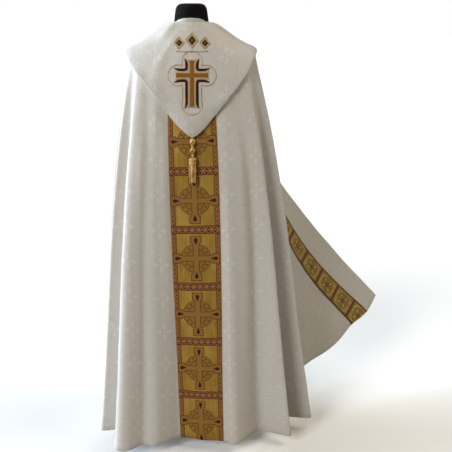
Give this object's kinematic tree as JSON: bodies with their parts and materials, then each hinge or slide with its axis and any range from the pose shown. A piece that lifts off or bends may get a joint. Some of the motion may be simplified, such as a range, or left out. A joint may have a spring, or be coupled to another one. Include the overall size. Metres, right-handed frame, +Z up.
{
  "type": "cope vestment on dress form",
  "caption": "Full-length hooded liturgical cape with gold bands and a tassel, its right front swung out, on a limbless dress form with a pole and round foot.",
  "frame": {"origin": "middle of the underside of the stand's foot, on the pole's axis", "axes": "+Z up along the pole, +Y the way the back of the cope faces, +X the wearer's left"},
  "size_m": [1.112, 0.7882, 1.533],
  "materials": {
    "brocade": "ivory satin brocade, lined",
    "gold_band": "woven gold band",
    "cross_cloth": "raised embroidery",
    "gold_cord": "twisted gold thread",
    "form_cover": "matt black jersey",
    "stand_metal": "black powder coat"
  },
  "bodies": {
    "root": {"form_body": "form_cover", "form_pole": "stand_metal", "form_foot": "stand_metal", "cope_left_half": "brocade", "cope_right_half": "brocade", "back_band": "gold_band", "left_front_band": "gold_band", "right_front_band": "gold_band", "hood": "brocade", "collar": "brocade", "closure_tab": "gold_band", "hood_cross": "cross_cloth", "tassel_cord": "gold_cord", "tassel": "gold_cord"}
  },
  "joints": []
}
